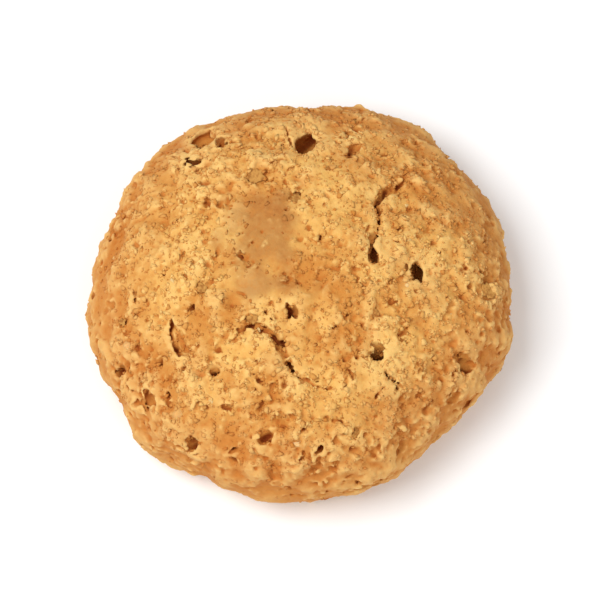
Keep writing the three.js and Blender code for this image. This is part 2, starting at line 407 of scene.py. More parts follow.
# %% Cracks
CRACKS = (  # width, depth, and the points that the crack runs through
    (0.4, 0.3, ((10.0, 10.9), (9.6, 9.1), (8.1, 8.3), (7.0, 6.6), (7.5, 5.3))),
    (0.46, 0.6, ((7.5, 5.3), (7.3, 3.6), (6.7, 2.4), (6.9, 1.0), (7.7, 0.2))),
    (0.44, 0.5, ((-6.5, -6.8), (-5.7, -6.0), (-4.6, -5.2), (-3.4, -5.5))),
    (0.46, 0.6, ((-3.4, -5.5), (-2.3, -6.5), (-1.5, -7.7), (-1.0, -8.9), (-0.5, -9.8))),
    (0.3, 0.25, ((-0.5, -9.9), (1.0, -10.7), (3.2, -11.2))),
    (0.26, 0.2, ((-5.9, -7.6), (-6.1, -6.9), (-5.5, -6.0))),
    (0.55, 0.7, ((-12.0, -4.3), (-11.7, -6.2), (-10.3, -7.9))),
    (0.24, 0.25, ((3.7, -8.6), (5.2, -8.2), (6.9, -8.2))),
    (0.2, 0.12, ((10.2, -5.6), (9.7, -7.4), (10.4, -8.9), (12.1, -9.7))),
)
SWINGS = 11  # places along a crack where its width changes
BLUNTNESS = 0.4  # of a crack's ends: 1 is long and thin, 0 is square
THINNEST = 0.6 * VOXEL  # the least half width that the block can hold


def carve(line, width, depth, random):
    """Stamps narrow hollows into the crust along a line of places on the smooth form."""
    shares = random.uniform(0.3, 1.5, SWINGS)
    swing = np.interp(np.linspace(0, 1, len(line)), np.linspace(0, 1, SWINGS), shares)
    for along, (place, wider) in enumerate(zip(line, swing)):
        taper = math.sin(math.pi * (along + 0.5) / len(line)) ** BLUNTNESS
        half = max(0.5 * width * taper * wider, THINNEST)
        radii = np.array((half, half, depth * taper * wider + half))
        stamp(crust, place, radii, upright_axes(outward(form, place)), random, uneven=0)


for width, depth, way in CRACKS:
    carve([on_top(form, x, y) for x, y in jagged(way, random)], width, depth, random)
tell(f"{len(CRACKS)} cracks")

# %% Fine fissures anywhere on the crust
FISSURES = 30
STEP = 0.5
WANDER = 0.45  # how much the way ahead turns at each step


def walk(start, length, random):
    """A wandering line of places on the smooth form."""
    places = [start]
    ahead = any_axes(random)[0]
    for _ in range(int(length / STEP)):
        normal = outward(form, places[-1])
        ahead = ahead + WANDER * random.normal(size=3)
        ahead -= normal * (ahead @ normal)
        ahead /= np.linalg.norm(ahead)
        places.append(onto_surface(form, places[-1] + STEP * ahead))
    return places


starts = places[(np.abs(form[i, j, k]) < 0.5 * VOXEL) & (places[:, 2] > 2.5)]
for _ in range(FISSURES):
    start = starts[random.integers(len(starts))]
    line = jagged(walk(start, random.uniform(1.2, 4.5), random), random)
    carve(line, random.uniform(0.16, 0.3), random.uniform(0.12, 0.35), random)
tell(f"{FISSURES} fissures")

# %% Small bubbles
SMALL_BUBBLES = 380
SMALLEST, LARGER = 0.13, 0.22  # the least radius, and how much the largest adds to it

starts = places[(np.abs(crust[i, j, k]) < 0.5 * VOXEL) & (places[:, 2] > 0.8)]
for _ in range(SMALL_BUBBLES):
    middle = starts[random.integers(len(starts))]
    size = SMALLEST + LARGER * random.random() ** 3
    stretch = np.array([1 + 1.5 * random.random(), 1, 1.2])
    stamp(crust, middle, size * stretch, any_axes(random), random, uneven=0.2)
tell(f"{SMALL_BUBBLES} small bubbles")

# %% [markdown]
# ## Room for the bits of almond
#
# The dough holds chopped almonds and scraps of their brown skin, and some lie open in the crust. They
# are pieces of their own, made further down, but their places are chosen here, because a scrap of
# skin sits in a shallow dent of the crust, with a dark gap along its edge.

# %% Places of the bits of almond and the scraps of skin
ALMOND_BITS = [  # x, y, length and width: the ones that show best
    (-11.4, -12.8, 1.8, 1.4),
    (-8.4, -12.2, 0.9, 0.8),
    (10.3, 3.2, 0.9, 0.7),
    (10.0, -1.2, 0.9, 0.8),
    (-0.4, -15.9, 2.0, 1.2),
]
SKIN_SCRAPS = [
    (-4.1, 9.6, 1.8, 1.4),
    (-0.4, 7.2, 1.4, 0.9),
    (-16.6, -3.7, 0.8, 0.7),
    (17.7, -0.8, 1.7, 1.4),
]
MORE_ALMOND_BITS = 30
MORE_SKIN_SCRAPS = 6

random = np.random.default_rng(8)
worn = softened(crust, 0.4)  # the crust without its small holes
starts = places[(np.abs(form[i, j, k]) < 0.5 * VOXEL) & (places[:, 2] > 1.5) & (patch < 0.1)]


def seats(listed, more, least, most):
    """For each bit: its place on the worn crust, its three axes and its length and width."""
    wanted = [(on_top(worn, x, y), length, width) for x, y, length, width in listed]
    for _ in range(more):
        length = least + (most - least) * random.random() ** 2
        place = onto_surface(worn, starts[random.integers(len(starts))])
        wanted.append((place, length, length * random.uniform(0.55, 0.95)))
    turns = random.uniform(0, 180, len(wanted))
    return [
        (place, upright_axes(outward(worn, place), turn), length, width)
        for (place, length, width), turn in zip(wanted, turns)
    ]


almond_seats = seats(ALMOND_BITS, MORE_ALMOND_BITS, 0.6, 1.6)
skin_seats = seats(SKIN_SCRAPS, MORE_SKIN_SCRAPS, 0.5, 1.4)
del worn
tell(f"{len(almond_seats)} bits of almond and {len(skin_seats)} scraps of skin have a place")

# %% A dent for each scrap of skin
GAP = 0.14  # round a scrap
DENT = 0.3  # under it

for place, axes, length, width in skin_seats:
    radii = np.array((length / 2 + GAP, width / 2 + GAP, DENT))
    stamp(crust, place, radii, axes, random, uneven=0.08)
tell(f"{len(skin_seats)} dents, the first {2 * (skin_seats[0][2] / 2 + GAP):.2f} mm long")

# %% [markdown]
# ## Grit
#
# Even the walls of the holes are gritty, as sugar and ground nuts are. Noise that is laid on last
# reaches inside them too. It is as fine as the block can hold, and the bump in the material adds what
# is finer still.

# %% Grit over everything, inside the holes too
GRIT_REACH = 0.25  # how far from the surface the block is changed

shell = np.argwhere((crust > -GRIT_REACH) & (crust < GRIT_REACH))
grit_places = (shell + LOWEST) * VOXEL
i, j, k = shell.T
crust[i, j, k] -= 0.03 * swells(grit_places, 0.3, 30) + 0.02 * swells(grit_places, 0.55, 31)
tell(f"grit on {len(shell) / 1e6:.2f} million samples")

# %% [markdown]
# ## The underside
#
# The biscuit was baked lying on a tray, so it is flat there, to the touch. Steam left pin-holes in it,
# and it cracked a little as it cooled. They are stamped like the bubbles, and then everything under
# the tray's height is cut away: last, so that the base is truly flat round them.

# %% Pin-holes in the underside
PIN_HOLES = 420
UNDER_REACH = 0.43 * (high - low)[:2]  # how far out they may be, along X and along Y

for _ in range(PIN_HOLES):
    angle = random.uniform(0, 2 * math.pi)
    out = math.sqrt(random.random())
    middle = np.array((*(out * UNDER_REACH * (math.cos(angle), math.sin(angle))), 0))
    size = 0.14 + 0.4 * random.random() ** 3
    stretch = np.array((1 + 0.6 * random.random(), 1, 1.4))
    stamp(crust, middle, size * stretch, any_axes(random), random)
tell(f"{PIN_HOLES} pin-holes")

# %% Hairline cracks in the underside, and the flat base
HAIRLINES = (  # turn in degrees, then the start and the length as shares of the way out
    (20, 0.1, 0.5),
    (120, 0.35, 0.3),
    (170, 0.2, 0.65),
    (290, 0.45, 0.4),
)
BEND = 14  # degrees, from each point of a hairline to the next
HAIR_RADII = np.array((0.1, 0.1, 0.35))

for turn, start, reach in HAIRLINES:
    turns = np.radians(turn + BEND * np.arange(4) * random.choice((-1, 1)))
    out = start + reach / 3 * np.arange(4)
    line = jagged(np.stack((np.cos(turns), np.sin(turns)), 1) * out[:, None] * UNDER_REACH, random)
    for x, y in line:
        stamp(crust, np.array((x, y, 0)), HAIR_RADII, np.eye(3), random, uneven=0)

crust = np.maximum(crust, -height)
tell(f"{len(HAIRLINES)} hairline cracks, and nothing below the tray")

# %% [markdown]
# ## From the block to faces
#
# The zero level of the block becomes a mesh, as the Remesh modifier would make one. Scraps that the
# tears cut loose are dropped. There are far too many faces then, and the Decimate modifier takes them
# away where the crust is plain and leaves them where it is busy.

# %% The block as a mesh


def mesh_of(block, name):
    """A mesh of the places where the block is zero, in metres."""
    grid = vdb.FloatGrid(BAND)
    grid.transform = spacing
    grid.copyFromArray(block, ijk=tuple(int(i) for i in LOWEST))
    corners, threes, fours = grid.convertToPolygons(isovalue=0.0, adaptivity=0.0)
    mesh = bpy.data.meshes.new(name)
    mesh.from_pydata((corners * MM).tolist(), [], fours[:, ::-1].tolist() + threes[:, ::-1].tolist())
    mesh.update()
    return mesh


def linked(thing):
    """Puts the object in the scene, and returns it."""
    bpy.context.scene.collection.objects.link(thing)
    return thing


cookie = linked(bpy.data.objects.new("cookie_crust", mesh_of(crust, "cookie_crust")))
tell(f"{len(cookie.data.polygons)} faces from the block")

# %% Only the part that holds the top


def keep_part_at_top(thing):
    """Deletes every part of the mesh that isn't joined to its topmost point."""
    top = max(range(len(thing.data.vertices)), key=lambda n: thing.data.vertices[n].co.z)
    bpy.ops.object.select_all(action="DESELECT")
    bpy.context.view_layer.objects.active = thing
    thing.select_set(True)
    bpy.ops.object.mode_set(mode="EDIT")
    bpy.ops.mesh.select_all(action="DESELECT")
    bpy.ops.object.mode_set(mode="OBJECT")
    thing.data.vertices[top].select = True
    bpy.ops.object.mode_set(mode="EDIT")
    bpy.ops.mesh.select_mode(type="VERT")
    bpy.ops.mesh.select_linked()
    bpy.ops.mesh.select_all(action="INVERT")
    bpy.ops.mesh.delete(type="VERT")
    bpy.ops.object.mode_set(mode="OBJECT")


keep_part_at_top(cookie)
tell(f"{len(cookie.data.polygons)} faces in one piece")

# %% Fewer faces
MOST_FACES = 196_000


def decimate(thing, most_faces):
    """Gives the object a mesh of at most so many triangles, and returns how many it had."""
    triangles = sum(len(face.vertices) - 2 for face in thing.data.polygons)
    fewer = thing.modifiers.new("fewer faces", "DECIMATE")
    fewer.ratio = min(1, most_faces / triangles)
    fewer.use_collapse_triangulate = True
    seen = thing.evaluated_get(bpy.context.evaluated_depsgraph_get())
    mesh = bpy.data.meshes.new_from_object(seen)
    thing.modifiers.clear()
    thing.data = mesh
    return triangles


before = decimate(cookie, MOST_FACES)
tell(f"{before} triangles brought to {len(cookie.data.polygons)}")
cookie.data.shade_smooth()

# %% [markdown]
# ## What the material needs to know
#
# The material colours a crust by its shape: crowns are made paler, partly the real drying of the tops
# and partly painted light, and hollows darker brown, mostly painted shade with a little real browning.
# A material can ask Blender for Pointiness, but that changes with the size of the faces and stays
# behind when the mesh goes to another program. So each point of the mesh keeps a few numbers. The
# share of air round a point says if it lies in a hollow (less than a half) or on a crown (more). It
# comes from blurring the block's own inside and outside.

# %% Numbers kept at the points
AIR_REACHES = {"air_close": 0.26, "air_wide": 0.65, "air_broad": 1.3}  # how far each one looks


def points_of(thing):
    """The object's points, in millimetres."""
    points = np.empty(len(thing.data.vertices) * 3, np.float32)
    thing.data.vertices.foreach_get("co", points)
    return points.reshape(-1, 3) / MM


def keep(thing, name, values):
    """Keeps a number for each point of the object, which its material finds by name."""
    layer = thing.data.attributes.new(name, "FLOAT", "POINT")
    layer.data.foreach_set("value", values.astype(np.float32))
    least, low_end, middle, high_end, most = np.percentile(values, (0, 10, 50, 90, 100))
    tell(f"{name}: {least:.2f} [{low_end:.2f} {middle:.2f} {high_end:.2f}] {most:.2f}")


crust_points = points_of(cookie)
air = (crust > 0).astype(np.float32)
crust_numbers = {name: read(softened(air, reach), crust_points) for name, reach in AIR_REACHES.items()}
patch_block = np.zeros_like(air)
patch_block[tuple(np.round(places / VOXEL).astype(int).T - LOWEST[:, None])] = patch
crust_numbers["patch"] = read(patch_block, crust_points)
for name, values in crust_numbers.items():
    keep(cookie, name, values)
del air, patch_block
tell("numbers kept")

# %% [markdown]
# ## Crumbs on the crust
#
# Ground almonds are coarse, so the crust between the holes is made of grains half a millimetre across
# with sharp creases between them. Blurred samples can't hold that, but thousands of tiny convex
# crumbs pressed into the crust can. A particle system or Geometry Nodes could scatter them. Here a few
# shapes are copied with arrays of numbers, because each crumb then keeps what its material colours it
# by. A crumb lies flat on the crust that it baked onto, so it is flattened and only tilted a little.

# %% A few crumb shapes


def hull_of(corners, rounding=0.0):
    """The corners and triangles of the convex shape round some points, with its edges rounded."""
    mesh = bmesh.new()
    for corner in corners:
        mesh.verts.new(corner)
    hull = bmesh.ops.convex_hull(mesh, input=mesh.verts)
    inner = [thing for thing in hull["geom_interior"] if isinstance(thing, bmesh.types.BMVert)]
    bmesh.ops.delete(mesh, geom=inner, context="VERTS")
    if rounding:
        bmesh.ops.bevel(mesh, geom=mesh.edges[:], offset=rounding, segments=2, affect="EDGES", profile=0.5)
    bmesh.ops.triangulate(mesh, faces=mesh.faces)
    bmesh.ops.recalc_face_normals(mesh, faces=mesh.faces)
    mesh.verts.index_update()
    points = np.array([corner.co for corner in mesh.verts])
    threes = np.array([[corner.index for corner in face.verts] for face in mesh.faces])
    mesh.free()
    return points, threes


def lump(random, count, rounding=0.0):
    """A convex lump about 1 across, from so many random points."""
    ways = random.normal(size=(count, 3))
    ways /= np.linalg.norm(ways, axis=1)[:, None]
    return hull_of(ways * random.uniform(0.32, 0.58, (count, 1)), rounding)


CRUMB_CORNERS = 10
CRUMB_SHAPES = 12

random = np.random.default_rng(21)
crumb_shapes = [lump(random, CRUMB_CORNERS) for _ in range(CRUMB_SHAPES)]
tell(f"{CRUMB_SHAPES} crumb shapes of about {len(crumb_shapes[0][1])} triangles")

# %% Copies of shapes as one mesh


def as_one_mesh(name, shapes, kinds, middles, axes, sizes, numbers):
    """One object with a copy of a shape for each middle. Axes hold three columns for each copy."""
    all_points, all_threes, order = [], [], []
    so_far = 0
    for kind, (points, threes) in enumerate(shapes):
        mine = np.flatnonzero(kinds == kind)
        copies = np.einsum("nkj,nij->nki", points * sizes[mine][:, None], axes[mine])
        copies = copies + middles[mine][:, None]
        starts = so_far + len(points) * np.arange(len(mine))
        all_points.append(copies.reshape(-1, 3))
        all_threes.append((threes + starts[:, None, None]).reshape(-1, 3))
        order.append(np.repeat(mine, len(points)))
        so_far += copies.size // 3
    mesh = bpy.data.meshes.new(name)
    corners = np.concatenate(all_points) * MM
    mesh.from_pydata(corners.tolist(), [], np.concatenate(all_threes).tolist())
    mesh.update()
    mesh.shade_smooth()
    thing = linked(bpy.data.objects.new(name, mesh))
    for label, values in numbers.items():
        keep(thing, label, values[np.concatenate(order)])
    tell(f"{name}: {len(middles)} copies, {len(mesh.polygons)} triangles")
    return thing


faces_in_all = sum(len(threes) for _, threes in crumb_shapes)
tell(f"a thousand crumbs will have about {1000 * faces_in_all / CRUMB_SHAPES:.0f} triangles")

# %% Where the crumbs lie
CRUMBS = 6500
LEVEL_AIR = (0.45, 0.64)  # the share of air where the crust is neither a hollow nor a sharp edge
CLEAR_OF_TRAY = 0.7  # no crumb lies lower
FEW_BELOW, MANY_ABOVE = 7, 12  # heights

level_ground = (crust_numbers["air_close"] > LEVEL_AIR[0]) & (crust_numbers["air_close"] < LEVEL_AIR[1])
level_ground &= crust_points[:, 2] > CLEAR_OF_TRAY
off_patch = 1 - 0.97 * crust_numbers["patch"]
up_dome = 0.04 + 0.96 * smooth_step(crust_points[:, 2], FEW_BELOW, MANY_ABOVE)
wanted = level_ground * off_patch * up_dome
chosen = random.choice(len(wanted), CRUMBS, replace=False, p=wanted / wanted.sum())
tell(f"{CRUMBS} of {np.count_nonzero(level_ground)} level points get a crumb")

# %% The crumbs
FLATNESS = 0.6
TILT = 0.25  # of a crumb from the crust under it


def lying_axes(normals, random):
    """Three axes for each normal, the third close to it and the first turned at random."""
    third = normals + TILT * random.normal(size=normals.shape)
    third /= np.linalg.norm(third, axis=1)[:, None]
    first = np.cross(third, random.normal(size=normals.shape))
    first /= np.linalg.norm(first, axis=1)[:, None]
    return np.stack((first, np.cross(third, first), third), axis=2)


normals = np.empty(len(cookie.data.vertices) * 3, np.float32)
cookie.data.vertices.foreach_get("normal", normals)
normals = normals.reshape(-1, 3)
sizes = (0.26 + 0.5 * random.random((CRUMBS, 1)) ** 3) * random.uniform(0.7, 1.4, (CRUMBS, 3))
sizes[:, 2] *= FLATNESS
crumbs = as_one_mesh(
    "crust_crumbs",
    crumb_shapes,
    random.integers(len(crumb_shapes), size=CRUMBS),
    crust_points[chosen],
    lying_axes(normals[chosen], random),
    sizes,
    {"number": random.random(CRUMBS)} | {name: values[chosen] for name, values in crust_numbers.items()},
)
keep(crumbs, "above", read(crust, points_of(crumbs)))  # how far each corner is above the crust

# %% [markdown]
# ## Bits of almond and scraps of almond skin
#
# Chopped almond breaks into pale, angular bits with edges that the dough has rounded a little. Each is
# a convex lump with bevelled edges, half sunk in the crust. A scrap of skin is a thin brown flake,
# torn round its edge and curled by the heat, so it is made as a small disc of rings with a wavy
# height, given a thickness.

# %% Bits of almond


def on_seats(name, shapes, seated, lift, thickness, random):
    """One mesh with a copy of a shape on each seat, lifted along its normal."""
    axes = np.stack([seat[1] for seat in seated])
    sizes = np.array([(length, width, width * thickness) for _, _, length, width in seated])
    middles = np.stack([seat[0] for seat in seated]) + lift * axes[:, :, 2]
    kinds = np.arange(len(seated)) % len(shapes)
    numbers = {"number": random.random(len(seated))}
    return as_one_mesh(name, shapes, kinds, middles, axes, sizes, numbers)


ALMOND_CORNERS = 12
ALMOND_SHAPES = 8

almond_shapes = [lump(random, ALMOND_CORNERS, rounding=0.04) for _ in range(ALMOND_SHAPES)]
almonds = on_seats("almond_bits", almond_shapes, almond_seats, lift=-0.12, thickness=0.8, random=random)

# %% The shape of a flake
SIDES = 18
RINGS = 5
TORN = 0.2  # how uneven its edge is


def flake_points(random):
    """The points of a curled flake about 1 across: its middle, then ring after ring."""
    turns = 2 * math.pi * np.arange(SIDES) / SIDES
    torn = 1 + TORN * random.normal(size=SIDES)
    curl = random.uniform(-0.5, 0.5, 2)
    points = [(0.0, 0.0, 0.0)]
    for ring in range(1, RINGS + 1):
        out = 0.5 * ring / RINGS * (1 + (torn - 1) * ring / RINGS)
        x, y = out * np.cos(turns), out * np.sin(turns)
        height = curl[0] * x * x + curl[1] * y * y + 0.03 * np.sin(9 * x + 5 * y)
        points.extend(zip(x, y, height))
    return np.array(points)


def flake_triangles(count):
    """The triangles of a flake with so many points above, as many below, and a wall between."""
    around = np.arange(SIDES)
    after = (around + 1) % SIDES
    upper = [(0, 1 + a, 1 + b) for a, b in zip(around, after)]
    for ring in range(RINGS - 1):
        inner, outer = 1 + ring * SIDES, 1 + (ring + 1) * SIDES
        for a, b in zip(around, after):
            upper.append((inner + a, outer + a, outer + b))
            upper.append((inner + a, outer + b, inner + b))
    lower = [(a + count, c + count, b + count) for a, b, c in upper]
    rim = 1 + (RINGS - 1) * SIDES
    wall = []
    for a, b in zip(around + rim, after + rim):
        wall.append((a, a + count, b + count))
        wall.append((a, b + count, b))
    return np.array(upper + lower + wall)


tell(f"a flake has {len(flake_triangles(1 + RINGS * SIDES))} triangles")

# %% Scraps of skin
FLAKE_SHAPES = 6
SKIN_THICKNESS = 0.07  # as a share of a scrap's width

flakes = []
for _ in range(FLAKE_SHAPES):
    upper = flake_points(random)
    lower = upper - (0, 0, SKIN_THICKNESS)
    flakes.append((np.concatenate((upper, lower)), flake_triangles(len(upper))))
skins = on_seats("almond_skins", flakes, skin_seats, lift=-0.04, thickness=1.0, random=random)

# %% [markdown]
# ## Colours
#
# The crust is coloured by its shape: what stands out is made pale gold, partly the real drying of the
# tops and partly painted light, and what lies low a deeper red-brown, partly real browning and mostly
# painted shade where little light reaches. One brown made lighter and darker would look like clay, so
# each stage of baking has a tone of its own. They are written as they look on a screen and turned into
# amounts of light here.

# %% Colours


def tone(red, green, blue):
    """A colour given as it looks on a screen, from 0 to 255, as the amounts of light it stands for."""
    light = [((part / 255 + 0.055) / 1.055) ** 2.4 for part in (red, green, blue)]
    return (*light, 1)


GOLDEN = tone(220, 169, 91)
PALE = tone(234, 195, 122)
TOASTED = tone(194, 127, 54)
# The hollow and deep tones are mostly painted shade for hollows and creases, with a little real browning
# in them.
HOLLOW_SHADE = tone(182, 97, 28)
DEEP_SHADE = tone(136, 60, 14)
PATCH = tone(156, 96, 45)
# The rim's brown is partly the real browning of the edge and partly painted shade where the rim turns away
# from the light.
RIM = tone(188, 115, 47)
TRAY_SIDE = tone(208, 150, 88)
ALMOND = tone(226, 186, 126)
ALMOND_EDGE = tone(216, 166, 98)
SKIN = tone(195, 142, 73)
SKIN_DARK = tone(150, 93, 39)
tell(f"the golden crust gives back {GOLDEN[0]:.0%} of red, {GOLDEN[2]:.0%} of blue light")

# %% [markdown]
# ## Effects that several materials share
#
# Three things happen to everything on this biscuit: its colour drifts in soft blotches, it has a fine
# grit that is too small for faces, and it is browner on the rim, partly real browning and partly
# painted shade, and paler near the tray. Copies of the same nodes in each material would soon drift
# apart. So each effect is a node group, built once and placed in every material with values of its own.

# %% Nodes and links


def add_node(tree, kind, **values):
    node = tree.nodes.new("ShaderNode" + kind)
    for name, value in values.items():
        setattr(node, name, value)
    return node


def feed(tree, socket, value):
    """Links a node's output to the socket, or sets the socket to a number or a colour."""
    if isinstance(value, bpy.types.NodeSocket):
        tree.links.new(value, socket)
    else:
        socket.default_value = value


def add_math(tree, operation, a, b):
    node = add_node(tree, "Math", operation=operation)
    feed(tree, node.inputs[0], a)
    feed(tree, node.inputs[1], b)
    return node.outputs[0]


trial = bpy.data.node_groups.new("trial", "ShaderNodeTree")
add_math(trial, "ADD", 1.0, add_math(trial, "MULTIPLY", 2.0, 3.0))
tell(f"a sum with a product in it takes {len(trial.nodes)} nodes and {len(trial.links)} link")
bpy.data.node_groups.remove(trial)

# %% Soft steps, mixes and kept numbers


def add_step(tree, value, start, end, low=0.0, high=1.0):
    """A soft step of the value, from low at start to high at end."""
    node = add_node(tree, "MapRange", interpolation_type="SMOOTHSTEP")
    feed(tree, node.inputs["Value"], value)
    for label, number in (("From Min", start), ("From Max", end), ("To Min", low), ("To Max", high)):
        feed(tree, node.inputs[label], number)
    return node.outputs["Result"]


def add_mix(tree, share, below, above):
    """A colour with a share of another one laid over it."""
    node = add_node(tree, "Mix", data_type="RGBA")
    feed(tree, node.inputs["Factor"], share)
    lower, upper = [socket for socket in node.inputs if socket.type == "RGBA"]
    feed(tree, lower, below)
    feed(tree, upper, above)
    return next(socket for socket in node.outputs if socket.type == "RGBA")


def add_kept(tree, name):
    """A number that the mesh keeps at its points."""
    return add_node(tree, "Attribute", attribute_name=name).outputs["Fac"]


kept_names = [layer.name for layer in cookie.data.attributes if layer.name in crust_numbers]
tell(f"the crust keeps {', '.join(kept_names)}")

# %% Building and placing node groups
COLOUR, NUMBER = "NodeSocketColor", "NodeSocketFloat"


def new_group(name, colours, numbers, output, output_type):
    """A node group with inputs of both types and one output, and the sockets to link inside it."""
    group = bpy.data.node_groups.new(name, "ShaderNodeTree")
    for label in colours:
        group.interface.new_socket(label, in_out="INPUT", socket_type=COLOUR)
    for label in numbers:
        group.interface.new_socket(label, in_out="INPUT", socket_type=NUMBER)
    group.interface.new_socket(output, in_out="OUTPUT", socket_type=output_type)
    given = group.nodes.new("NodeGroupInput").outputs
    out = group.nodes.new("NodeGroupOutput").inputs[output]
    tell(f"{name}: {', '.join((*colours, *numbers))} give {output}")
    return group, given, out


def placed(tree, group, **values):
    """Places a group in a material and returns its one output."""
    node = add_node(tree, "Group", node_tree=group)
    for label, value in values.items():
        feed(tree, node.inputs[label.replace("_", " ")], value)
    return node.outputs[0]


# %% The group for soft blotches of a second colour
blotches, given, out = new_group(
    "blotches",
    colours=("Colour", "Second colour"),
    numbers=("Scale", "Seed", "Start", "End", "Most"),
    output="Colour",
    output_type=COLOUR,
)
noise = add_node(blotches, "TexNoise", noise_dimensions="4D")
noise.inputs["Detail"].default_value = 3.5
noise.inputs["Roughness"].default_value = 0.62
feed(blotches, noise.inputs["Vector"], add_node(blotches, "TexCoord").outputs["Object"])
feed(blotches, noise.inputs["Scale"], given["Scale"])
feed(blotches, noise.inputs["W"], given["Seed"])
share = add_step(blotches, noise.outputs["Fac"], given["Start"], given["End"], 0.0, given["Most"])
feed(blotches, out, add_mix(blotches, share, given["Colour"], given["Second colour"]))

# %% The group for fine grit
grit, given, out = new_group(
    "grit",
    colours=(),
    numbers=("Scale", "Granules"),
    output="Height",
    output_type=NUMBER,
)
object_place = add_node(grit, "TexCoord").outputs["Object"]
noise = add_node(grit, "TexNoise")
noise.inputs["Detail"].default_value = 4
noise.inputs["Roughness"].default_value = 0.7
feed(grit, noise.inputs["Vector"], object_place)
feed(grit, noise.inputs["Scale"], given["Scale"])
granules = add_node(grit, "TexVoronoi")
feed(grit, granules.inputs["Vector"], object_place)
feed(grit, granules.inputs["Scale"], add_math(grit, "MULTIPLY", given["Scale"], 0.5))
hills = add_math(grit, "MULTIPLY", granules.outputs["Distance"], given["Granules"])
feed(grit, out, add_math(grit, "SUBTRACT", noise.outputs["Fac"], hills))

# %% The group for another colour lower down: a browner rim, partly painted shade, and a paler tray side
RIM_HEIGHTS = (14.2, 9)  # where the rim's brown starts and where it is full
TRAY_HEIGHTS = (3.2, 0.2)

by_height, given, out = new_group(
    "colour by height",
    colours=("Colour", "Lower colour"),
    numbers=("Start", "End", "Most"),
    output="Colour",
    output_type=COLOUR,
)
height_above = add_node(by_height, "SeparateXYZ")
feed(by_height, height_above.inputs[0], add_node(by_height, "TexCoord").outputs["Object"])
share = add_step(by_height, height_above.outputs["Z"], given["Start"], given["End"], 0.0, given["Most"])
feed(by_height, out, add_mix(by_height, share, given["Colour"], given["Lower colour"]))


def lower_down(tree, colour, tray_share, rim_share=0.0):
    """The colour, browner on the rim, partly real browning and partly painted shade, and paler where the
    biscuit lay on the tray.
    """
    steps = ((RIM, RIM_HEIGHTS, rim_share), (TRAY_SIDE, TRAY_HEIGHTS, tray_share))
    for lower, (start, end), most in steps:
        values = {"Lower_colour": lower, "Start": start * MM, "End": end * MM, "Most": most}
        colour = placed(tree, by_height, Colour=colour, **values)
    return colour


# %% [markdown]
# ## The materials
#
# Each one is a Principled BSDF with a mixed base colour, a bump from the grit group and a high
# roughness, because a dry crust scatters light. A little light also goes into the sugar and comes out
# redder beside it, which is what subsurface scattering adds: it keeps the small holes from going grey.
# The crumbs go without it: they are so small that the red would leave them and their edges turn green.

# %% The group for colour by shape: painted light on crowns, painted shade in hollows
# Pale on the crowns is partly real drying and partly painted light; Toasted, Hollow and Deep in the
# hollows are partly real browning and mostly painted shade.
SHAPE_STEPS = (  # a share of air, where a colour starts and where it is full, how much of it, and which
    ("Broad", 0.5, 0.62, 0.4, "Pale"),
    ("Close", 0.54, 0.7, 0.35, "Pale"),
    ("Broad", 0.5, 0.38, 0.85, "Toasted"),
    ("Close", 0.5, 0.3, 0.5, "Hollow"),
    ("Wide", 0.38, 0.16, 1, "Deep"),
)

by_shape, given, out = new_group(
    "colour by shape",
    colours=("Colour", "Pale", "Toasted", "Hollow", "Deep"),
    numbers=("Close", "Wide", "Broad"),
    output="Colour",
    output_type=COLOUR,
)
colour = given["Colour"]
for air_share, start, end, most, label in SHAPE_STEPS:
    share = add_step(by_shape, given[air_share], start, end, 0, most)
    colour = add_mix(by_shape, share, colour, given[label])
feed(by_shape, out, colour)


def baked_and_shaded(tree, colour):
    """The colour after the oven, with crowns paler, partly painted light, and hollows darker, mostly
    painted shade, from the numbers that a crusty piece keeps at its points.
    """
    numbers = {label: add_kept(tree, "air_" + label.lower()) for label in ("Close", "Wide", "Broad")}
    colours = {"Pale": PALE, "Toasted": TOASTED, "Hollow": HOLLOW_SHADE, "Deep": DEEP_SHADE}
    return placed(tree, by_shape, Colour=colour, **colours, **numbers)


# %% A rough material with fine grit
LIGHT_REACHES = (1.0, 0.6, 0.35)  # how far red, green and blue light go in, against each other


def new_material(name, roughness, specular, bump_mm, grit_mm, granules):
    """A rough material with a grit bump: the material, its tree and its shader."""
    material = bpy.data.materials.new(name)
    material.use_nodes = True
    tree = material.node_tree
    shader = tree.nodes["Principled BSDF"]
    shader.inputs["Roughness"].default_value = roughness
    shader.inputs["Specular IOR Level"].default_value = specular
    bump = add_node(tree, "Bump")
    bump.inputs["Distance"].default_value = bump_mm * MM
    height = placed(tree, grit, Scale=1 / (grit_mm * MM), Granules=granules)
    feed(tree, bump.inputs["Height"], height)
    feed(tree, shader.inputs["Normal"], bump.outputs["Normal"])
    return material, tree, shader


def light_goes_in(shader, share, reach_mm):
    shader.inputs["Subsurface Weight"].default_value = share
    shader.inputs["Subsurface Radius"].default_value = LIGHT_REACHES
    shader.inputs["Subsurface Scale"].default_value = reach_mm * MM


tell(f"blue light goes {LIGHT_REACHES[2]:.0%} as far into the sugar as red")

# %% Blotches, and the brown of the smooth patch
PATCH_SHARE = 0.65  # how much of its own brown the smooth patch has


def blotched(tree, colour, second, size_mm, seed, start, end, most):
    """The colour with blotches of a second one, from where the noise passes start."""
    values = {"Scale": 1 / (size_mm * MM), "Seed": seed, "Start": start, "End": end, "Most": most}
    return placed(tree, blotches, Colour=colour, Second_colour=second, **values)


def patched(tree, colour):
    """The colour, browner on the part of the crust that set smooth."""
    share = add_step(tree, add_kept(tree, "patch"), 0, 1, 0, PATCH_SHARE)
    return add_mix(tree, share, colour, PATCH)


def tell_nodes(material):
    tell(f"material {material.name}: {len(material.node_tree.nodes)} nodes")


tell(f"the smooth patch takes {PATCH_SHARE:.0%} of its colour from its own brown")

